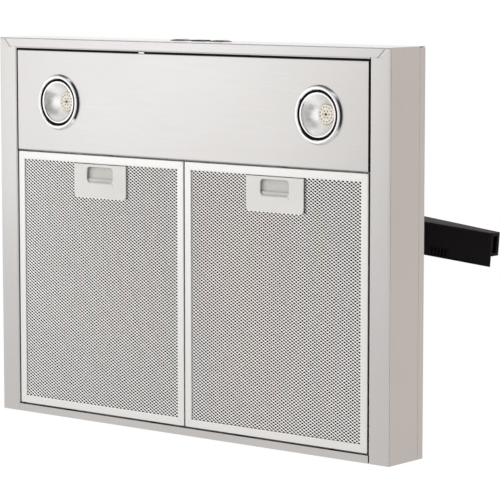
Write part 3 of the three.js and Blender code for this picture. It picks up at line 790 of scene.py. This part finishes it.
def add_filter_lattice(label, body):
    """The expanded mesh, left out where the latch covers it."""
    plate_low, plate_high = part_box("latch_plate_" + label)
    margin = 1.6 * mm
    right_gap = 2.2 * mm

    def under_latch(point):
        inside_x = plate_low.x + margin < point.x < plate_high.x + right_gap
        return inside_x and point.y < plate_high.y - margin

    mesh_low, mesh_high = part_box("filter_mesh_" + label)
    piece = Piece("filter_lattice_" + label)
    side_inset = 3 * mm
    end_inset = 2 * mm
    expanded_mesh(
        piece,
        (mesh_low.x + side_inset, mesh_high.x - side_inset),
        (mesh_low.y + end_inset, mesh_high.y - end_inset),
        mesh_low.z + 0.05 * mm,
        under_latch,
        strand_metal,
    )
    settle(piece.make(60), body, "filter_mesh", "filter_mesh_" + label)


# ---------------------------------------------------------------- latches
def add_latch(label):
    """The pale plate with its finger window, and the housing behind it, coloured dark as painted shade."""
    body = "filter_" + label
    low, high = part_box("latch_plate_" + label)
    middle = (low.x + high.x) / 2
    front_gap = 0.5 * mm
    plate_y = (low.y + front_gap, high.y)
    plate_z = (low.z, low.z + 2.2 * mm)
    plate = Piece("latch_cover_" + label)
    plate_radii = [0.8 * mm, 0.8 * mm, 6 * mm, 6 * mm]
    plate.add(slab((low.x, high.x), plate_y, plate_z, plate_radii, 0.7 * mm), latch_plastic)
    inset = 0.95 * mm
    housing_x = (low.x + inset, high.x - inset)
    housing_y = (plate_y[0] + 0.4 * mm, high.y - inset)
    housing_z = (low.z + 1.2 * mm, high.z)
    housing_radii = [1.5 * mm, 1.5 * mm, 5 * mm, 5 * mm]
    # The housing is coloured dark: painted shade behind the plate.
    plate.add(slab(housing_x, housing_y, housing_z, housing_radii, 0.2 * mm), scroll_plastic)
    made = plate.make()
    wall = 1.4 * mm
    room = slab(
        (low.x + wall, high.x - wall),
        (low.y + wall, high.y - wall),
        (low.z + 1.6 * mm, high.z + 3 * mm),
        [4 * mm] * 4,
        0.3 * mm,
    )
    window_y = (low.y + 3.7 * mm, low.y + 22.7 * mm)
    window_half = 21.25 * mm
    window_x = (middle - window_half, middle + window_half)
    window = slab(window_x, window_y, (low.z - 3 * mm, low.z + 4 * mm), [4.6 * mm] * 4, 0.2 * mm)
    path = slab(
        (middle - bolt_half, middle + bolt_half),
        (low.y - 3 * mm, low.y + 6 * mm),
        (low.z + 2.7 * mm, low.z + 5.7 * mm),
        [0.1 * mm] * 4,
        0.1 * mm,
    )
    # The room's walls take the dark material too: painted shade inside the latch.
    carve(made, room, material=scroll_plastic)
    carve(made, window)
    carve(made, path)
    settle(made, body, "latch_plastic", "latch_plate_" + label)
    add_latch_ridge(label, body, middle, window_y[1], low.z)


def add_latch_ridge(label, body, middle, window_rear, level):
    """The low ridge behind the latch's window."""
    ridge = Piece("latch_ridge_" + label)
    ridge_y = (window_rear + 0.5 * mm, window_rear + 4.2 * mm)
    ridge_half = 21 * mm
    ridge_x = (middle - ridge_half, middle + ridge_half)
    ridge_z = (level - 0.7 * mm, level + 1 * mm)
    ridge.add(slab(ridge_x, ridge_y, ridge_z, [1.8 * mm] * 4, 0.6 * mm), latch_plastic)
    settle(ridge.make(), body, "latch_plastic")


# ---------------------------------------------------------------- springs
def coil(low, high, turns, wire):
    """A compression spring along Y that fills a box from low to high."""
    radius = (high.x - low.x) / 2 - wire
    middle = (low + high) / 2
    steps = 20 * turns
    across = [2 * math.pi * k / 8 for k in range(8)]
    loops = []
    for i in range(steps + 1):
        angle = 2 * math.pi * turns * i / steps
        outward = Vector((math.cos(angle), 0, math.sin(angle)))
        travel = low.y + wire + (high.y - low.y - 2 * wire) * i / steps
        centre = Vector((middle.x, travel, middle.z)) + outward * radius
        loops.append([
            centre + outward * wire * math.cos(a) + Vector((0, wire * math.sin(a), 0))
            for a in across
        ])
    return stack(loops)


def add_spring(node, body, turns):
    """A spring held at its rear end, built as a fixed coil that fills the CAD node's box."""
    low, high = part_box(node)
    made = Piece(node + "_coil").add(coil(low, high, turns, 0.4 * mm), bright_steel).make()
    settle(made, body, "bright_steel", node)
    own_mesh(made)


# ---------------------------------------------------------------- diverter
def add_diverter_detail():
    """Edge beads, vent louvres and end frames on the two arms, which lie along a line turned a little."""
    collar_low, collar_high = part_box("outlet_collar")
    axis = Vector(((collar_low.x + collar_high.x) / 2, (collar_low.y + collar_high.y) / 2, 0))
    turn = math.radians(4.6)
    arm_length = 194 * mm
    arm_half = 20.25 * mm
    arm_start = 56 * mm
    floor = 75 * mm
    piece = Piece("diverter_trim")

    def put(x, y, drop, radius, edge):
        shape = slab(tuple(sorted(x)), y, (floor - drop, floor + 0.5 * mm), [radius] * 4, edge)
        piece.add(turned_about_z(shape, turn, axis), black_plastic)

    for side in (-1, 1):
        reach = (side * arm_start, side * (arm_length - 1 * mm))
        put(reach, (-arm_half + 0.2 * mm, -arm_half + 3.6 * mm), 1.1 * mm, 0.5 * mm, 0.5 * mm)
        short = (side * arm_start, side * (arm_length - 17 * mm))
        put(short, (arm_half - 1.8 * mm, arm_half - 0.2 * mm), 0.8 * mm, 0.4 * mm, 0.4 * mm)
        for i in range(6):
            x = side * (107.5 + 5 * i) * mm
            put((x - 1.1 * mm, x + 1.1 * mm), (8 * mm, 19.6 * mm), 1.0 * mm, 1 * mm, 0.5 * mm)
        end = (side * (arm_length - 0.3 * mm), side * (arm_length - 8 * mm))
        put(end, (-arm_half + 3.4 * mm, arm_half - 14 * mm), 0.7 * mm, 0.6 * mm, 0.4 * mm)
    settle(piece.make(), "diverter", "black_plastic")


# ---------------------------------------------------------------- blower box
def add_rivets():
    """Domed rivets along the blower box's upper edges."""
    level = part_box("blower_box")[1].z - 12 * mm
    piece = Piece("box_rivets")
    half_x = 160 * mm
    half_y = 130 * mm
    dome = [
        (0.02 * mm, 0),
        (2.3 * mm, 0),
        (2.1 * mm, 0.25 * mm),
        (1.2 * mm, 0.75 * mm),
        (0.02 * mm, 0.9 * mm),
    ]
    for side in (-1, 1):
        for i in range(4):
            share = -0.75 + 0.5 * i
            rivets = (
                (Vector((side * half_x, share * half_y, level)), side * math.pi / 2, "Y"),
                (Vector((share * half_x, side * half_y, level)), -side * math.pi / 2, "X"),
            )
            for place, angle, axis in rivets:
                out = Matrix.Translation(place) @ Matrix.Rotation(angle, 4, axis)
                vertices, faces = lathe(dome, Vector((0, 0, 0)), 16)
                piece.add(([out @ Vector(v) for v in vertices], faces), bright_steel)
    settle(piece.make(), "canopy", "galvanised_steel")


def add_box_screw(name):
    """A pan-head screw with a cross recess."""
    low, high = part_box(name)
    shank_length = 5 * mm
    centre = Vector(((low.x + high.x) / 2, (low.y + high.y) / 2, low.z + shank_length))
    head = [
        (0.02 * mm, 2.4 * mm),
        (1.6 * mm, 2.3 * mm),
        (2.8 * mm, 1.8 * mm),
        (3.5 * mm, 0.8 * mm),
        (3.6 * mm, 0.1 * mm),
    ]
    shank = [
        (1.9 * mm, 0.1 * mm),
        (1.9 * mm, -4.2 * mm),
        (1.2 * mm, -shank_length),
        (0.02 * mm, -shank_length),
    ]
    piece = Piece(name + "_detail")
    piece.add(lathe(head + shank, centre, 28), bright_steel)
    made = piece.make()
    for half_x, half_y in ((1.7 * mm, 0.45 * mm), (0.45 * mm, 1.7 * mm)):
        arm = slab(
            (centre.x - half_x, centre.x + half_x),
            (centre.y - half_y, centre.y + half_y),
            (centre.z + 1.1 * mm, centre.z + 4 * mm),
            [0.05 * mm] * 4,
            0.05 * mm,
        )
        carve(made, arm)
    settle(made, "canopy", "bright_steel", name)


# ---------------------------------------------------------------- carried-over CAD nodes
node_looks = {
    "canopy_lid": steel["deep"],
    "rear_panel": steel["wide"],
    "blower_box": zinc,
    "filter_rail_front": zinc,
    "filter_rail_rear": zinc,
    "filter_rail_centre": zinc,
    "lamp_can_left": zinc,
    "lamp_can_right": zinc,
    # The filter media's near-black colour is painted shade.
    "filter_media_left": media_painted_shade,
    "filter_media_right": media_painted_shade,
    "filter_back_mesh_left": back_mesh_metal,
    "filter_back_mesh_right": back_mesh_metal,
    "latch_slider_left": white_plastic,
    "latch_slider_right": white_plastic,
    "switch_housing": black_plastic,
    "rocker_light": rocker_plastic,
    "rocker_speed": rocker_plastic,
    "power_button": button_plastic,
    "junction_box": zinc,
    "junction_cover": zinc,
    "terminal_block": white_plastic,
    "led_driver": white_plastic,
    "motor_capacitor": aluminium,
    "cable_gland": black_plastic,
    "scroll_housing": scroll_plastic,
    "inlet_ring_left": white_plastic,
    "inlet_ring_right": white_plastic,
    "impeller": white_plastic,
    "motor_shaft": bright_steel,
    "motor": zinc,
    "motor_bracket": zinc,
    "outlet_collar": black_plastic,
    "damper_pin": bright_steel,
    "damper_flap_front": black_plastic,
    "damper_flap_rear": black_plastic,
    "diverter_lower": black_plastic,
    "diverter_upper": black_plastic,
}


def soft_edges():
    """A node group that joins split vertices and shades gently curved faces smooth."""
    group = bpy.data.node_groups.new("soft_edges", "GeometryNodeTree")
    group.interface.new_socket("Geometry", in_out="INPUT", socket_type="NodeSocketGeometry")
    group.interface.new_socket("Geometry", in_out="OUTPUT", socket_type="NodeSocketGeometry")
    made = {kind: group.nodes.new(kind) for kind in (
        "NodeGroupInput",
        "NodeGroupOutput",
        "GeometryNodeMergeByDistance",
        "GeometryNodeInputMeshEdgeAngle",
        "FunctionNodeCompare",
    )}
    faces = group.nodes.new("GeometryNodeSetShadeSmooth")
    edges = group.nodes.new("GeometryNodeSetShadeSmooth")
    edges.domain = "EDGE"
    made["GeometryNodeMergeByDistance"].inputs["Distance"].default_value = 0.001 * mm
    compare = made["FunctionNodeCompare"]
    compare.operation = "LESS_THAN"
    compare.inputs[1].default_value = math.radians(32)
    group.links.new(made["NodeGroupInput"].outputs[0], made["GeometryNodeMergeByDistance"].inputs["Geometry"])
    group.links.new(made["GeometryNodeMergeByDistance"].outputs[0], faces.inputs["Geometry"])
    group.links.new(faces.outputs[0], edges.inputs["Geometry"])
    group.links.new(made["GeometryNodeInputMeshEdgeAngle"].outputs["Unsigned Angle"], compare.inputs[0])
    group.links.new(compare.outputs[0], edges.inputs["Shade Smooth"])
    group.links.new(edges.outputs[0], made["NodeGroupOutput"].inputs[0])
    return group


def dress_nodes():
    soften = soft_edges()
    for name, material in node_looks.items():
        node = frame["nodes"][name]
        node.data.materials.clear()
        node.data.materials.append(material)
        modifier = node.modifiers.new("soften", "NODES")
        modifier.node_group = soften
        bevel = node.modifiers.new("eased", "BEVEL")
        bevel.width = 0.25 * mm
        bevel.segments = 2
        bevel.limit_method = "ANGLE"
        bevel.angle_limit = math.radians(50)
        bevel.use_clamp_overlap = True


# ---------------------------------------------------------------- studio
def add_floor():
    """A pale sheet far below the hood, which hangs in use and is seen from underneath."""
    drop = 5.2
    level = underside - drop
    centre = Vector((-4.2, 0, level))
    half = 9.5
    thickness = 0.02
    shape = slab(
        (centre.x - half, centre.x + half),
        (centre.y - half, centre.y + half),
        (level - thickness, level),
        [0.3] * 4,
        0.005,
    )
    paper = moulded("floor_paper", (0.82, 0.82, 0.82), 0.8, mottle=0.01)
    floor = Piece("floor").add(shape, paper).make()


class Sky:
    """The world's node tree: colours that depend on the direction a ray leaves in."""

    def __init__(self):
        world = bpy.data.worlds.new("studio")
        bpy.context.scene.world = world
        world.use_nodes = True
        self.tree = world.node_tree
        self.tree.nodes.clear()
        self.direction = self.node("ShaderNodeTexCoord").outputs["Generated"]

    def node(self, kind, inputs=None, **settings):
        made = self.tree.nodes.new(kind)
        for name, value in settings.items():
            setattr(made, name, value)
        for name, value in (inputs or {}).items():
            if isinstance(value, bpy.types.NodeSocket):
                self.tree.links.new(value, made.inputs[name])
            else:
                made.inputs[name].default_value = value
        return made

    def vector_math(self, operation, first, second):
        return self.node("ShaderNodeVectorMath", {0: first, 1: second}, operation=operation)

    def towards(self, direction):
        """How nearly a ray points in this direction, from 0 for opposite to 1."""
        dot = self.vector_math("DOT_PRODUCT", self.direction, Vector(direction).normalized())
        ranged = self.node("ShaderNodeMapRange", {"Value": dot.outputs["Value"], "From Min": -1.0})
        return ranged.outputs["Result"]

    def ramp(self, value, stops):
        made = self.node("ShaderNodeValToRGB", {"Fac": value})
        made.color_ramp.interpolation = "EASE"
        for place, _ in stops[1:-1]:
            made.color_ramp.elements.new(place)
        for element, (place, colour) in zip(made.color_ramp.elements, stops):
            element.position = place
            element.color = (*colour, 1)
        return made.outputs["Color"]

    def product(self, first, second):
        return self.vector_math("MULTIPLY", first, second).outputs["Vector"]

    def brighter(self, first, second):
        return self.vector_math("MAXIMUM", first, second).outputs["Vector"]


def grey(value):
    return (value, value, value)


def add_world():
    """A bright studio, dimmer and warmer up to the right.

    It is dark just below the horizon, except towards the left rear. The camera itself sees white.
    """
    sky = Sky()
    sideways = sky.ramp(sky.towards((0.6, 0, 0.8)), [
        (0.0, grey(1.0)),
        (0.55, (1.0, 0.99, 0.98)),
        (0.8, (0.8, 0.76, 0.72)),
        (1.0, (0.64, 0.575, 0.53)),
    ])
    horizon = sky.ramp(sky.towards((0, 0, 1)), [
        (0.0, grey(1.0)),
        (0.26, grey(1.0)),
        (0.31, grey(0.03)),
        (0.45, grey(0.04)),
        (0.51, grey(1.0)),
    ])
    left_rear = sky.ramp(sky.towards((0.8, -0.6, 0)), [
        (0.0, grey(1.0)),
        (0.36, grey(1.0)),
        (0.46, grey(0)),
        (1.0, grey(0)),
    ])
    colour = sky.product(sideways, sky.brighter(horizon, left_rear))
    lit = sky.node("ShaderNodeBackground", {"Color": colour, "Strength": 1.3})
    seen = sky.node("ShaderNodeBackground", {"Color": (1, 1, 1, 1)})
    rays = sky.node("ShaderNodeLightPath")
    inputs = {0: rays.outputs["Is Camera Ray"], 1: lit.outputs[0], 2: seen.outputs[0]}
    mix = sky.node("ShaderNodeMixShader", inputs)
    sky.node("ShaderNodeOutputWorld", {"Surface": mix.outputs[0]})


def add_softbox():
    """A soft light low on the left, aimed at the underside."""
    place = Vector((-1.1, -0.28, -1.4))
    aim = Vector((-0.1, -0.1, underside))
    light = bpy.data.lights.new("low_softbox", "AREA")
    light.shape = "RECTANGLE"
    light.size = 0.9
    light.size_y = 0.7
    light.energy = 1.5
    made = bpy.data.objects.new("low_softbox", light)
    bpy.context.scene.collection.objects.link(made)
    made.location = place
    made.rotation_euler = (aim - place).to_track_quat("-Z", "Y").to_euler()
    made.visible_camera = False


def add_camera():
    """The camera below and in front of the hood, with the front edge towards the top of the picture."""
    forward = Vector((
        -math.sin(camera_azimuth) * math.cos(camera_pitch),
        math.sin(camera_pitch),
        math.cos(camera_azimuth) * math.cos(camera_pitch),
    ))
    right = Vector((math.cos(camera_azimuth), 0, math.sin(camera_azimuth)))
    up = right.cross(forward)
    data = bpy.data.cameras.new("camera")
    data.lens = camera_lens
    data.sensor_width = 36
    data.clip_end = 50
    camera = bpy.data.objects.new("camera", data)
    bpy.context.scene.collection.objects.link(camera)
    place = underside_centre - forward * camera_distance
    place += right * camera_offset[0] + up * camera_offset[1]
    turn = Matrix((right, up, -forward)).transposed().to_4x4()
    camera.matrix_world = Matrix.Translation(place) @ turn
    bpy.context.scene.camera = camera


# ---------------------------------------------------------------- the scene
add_camera()
add_floor()
add_world()
add_softbox()
bpy.context.scene.view_settings.view_transform = "Standard"

dress_nodes()
add_canopy()
add_light_panel()
for lamp_label in lamp_sides:
    add_lamp(lamp_label)
    add_filter(lamp_label)
    add_latch(lamp_label)
    add_spring("latch_spring_" + lamp_label, "filter_" + lamp_label, 5)
add_spring("power_spring", "canopy", 6)
add_diverter_detail()
add_rivets()
for screw_end in ("front", "rear"):
    for screw_side in ("left", "right"):
        add_box_screw("box_screw_" + screw_end + "_" + screw_side)
